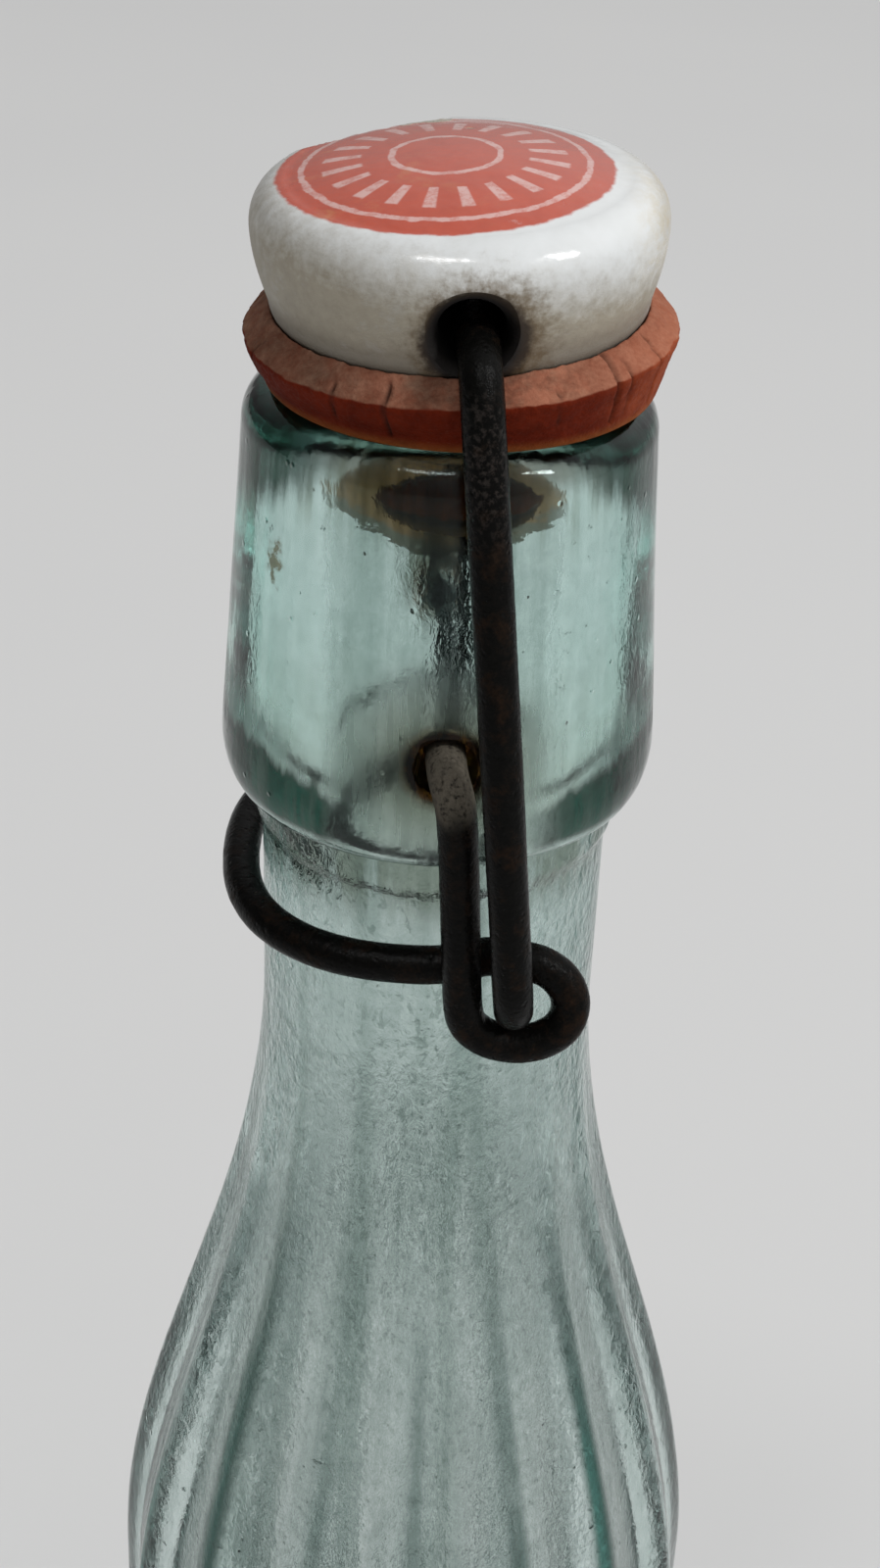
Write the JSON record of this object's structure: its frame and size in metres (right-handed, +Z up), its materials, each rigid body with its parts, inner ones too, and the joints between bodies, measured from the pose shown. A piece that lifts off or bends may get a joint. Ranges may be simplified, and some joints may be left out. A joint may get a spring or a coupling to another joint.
{
  "type": "swing-top bottle",
  "caption": "Small swing-top bottle of fluted pale green glass with a porcelain stopper, a rubber gasket and a bent-wire lever closure.",
  "frame": {"origin": "centre of the base, on the surface that the bottle stands on", "axes": "+Z up along the bottle's axis, Y along the closure's hinge axes, the lever's bow on the -X side"},
  "size_m": [0.0502, 0.0502, 0.224],
  "materials": {
    "glass": "pale aqua green, seedy, slightly hammered",
    "porcelain": "white glaze, stained, with a worn red-orange disc on top",
    "gasket_rubber": "aged red rubber, cracked and dirty",
    "iron_wire": "blackened iron wire with rust"
  },
  "bodies": {
    "bottle": {"glass_bottle": "glass"},
    "lever": {"lever_wire": "iron_wire"},
    "yoke": {"yoke_wire": "iron_wire"},
    "stopper": {"porcelain_stopper": "porcelain", "rubber_gasket": "gasket_rubber"}
  },
  "joints": [
    {"name": "lever_hinge", "type": "hinge", "parent": "bottle", "child": "lever", "pos_m": [0, 0, 0.1884], "axis": [0, 1, 0], "range_deg": [0, 92]},
    {"name": "yoke_hinge", "type": "hinge", "parent": "lever", "child": "yoke", "pos_m": [0.0052, 0, 0.1704], "axis": [0, 1, 0], "range_deg": [-59.8, 0]},
    {"name": "stopper_hinge", "type": "hinge", "parent": "yoke", "child": "stopper", "pos_m": [0.00095, 0, 0.2159], "axis": [0, 1, 0], "range_deg": [-32.2, 0]}
  ],
  "couplings": [
    {"joint": "yoke_hinge", "follows": "lever_hinge", "ratio": -0.65},
    {"joint": "stopper_hinge", "follows": "lever_hinge", "ratio": -0.35}
  ]
}
